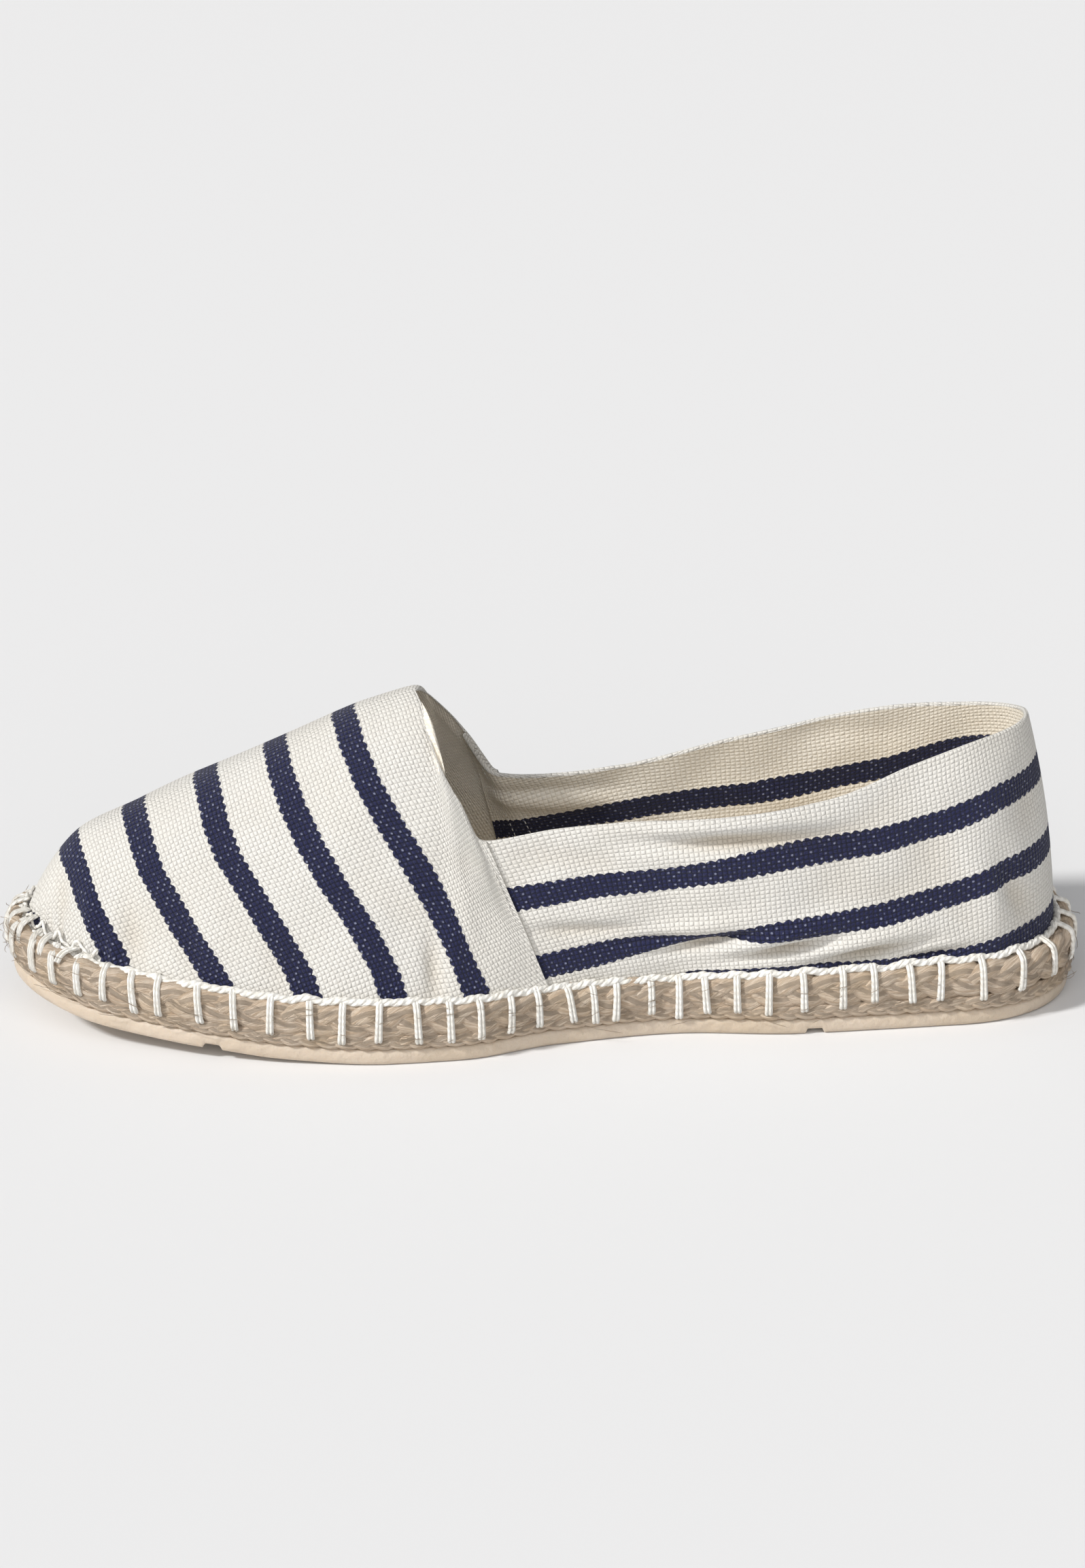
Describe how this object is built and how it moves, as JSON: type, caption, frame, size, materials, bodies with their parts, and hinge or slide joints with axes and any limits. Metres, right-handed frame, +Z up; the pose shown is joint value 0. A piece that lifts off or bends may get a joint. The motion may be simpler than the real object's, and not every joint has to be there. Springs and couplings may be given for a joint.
{
  "type": "espadrille",
  "caption": "Slip-on espadrille for the right foot: a striped canvas upper blanket-stitched to a rope sole with a thin rubber tread, standing empty.",
  "frame": {"origin": "centre of the footprint's bounding box, on the ground", "axes": "+X from heel to toe, +Y to the wearer's left, which on this right shoe is the inner (medial) side, +Z up"},
  "size_m": [0.2706, 0.092, 0.0834],
  "materials": {
    "canvas": "coarse plain-weave cotton canvas, off-white with woven navy stripes, two layers",
    "jute": "plaited jute rope, matt, hairy",
    "tread_rubber": "translucent beige rubber, satin",
    "sock_canvas": "plain cotton sock lining, matt"
  },
  "bodies": {
    "root": {"upper": "canvas", "rope_sole": "jute", "outsole": "tread_rubber", "insole": "sock_canvas"}
  },
  "joints": []
}
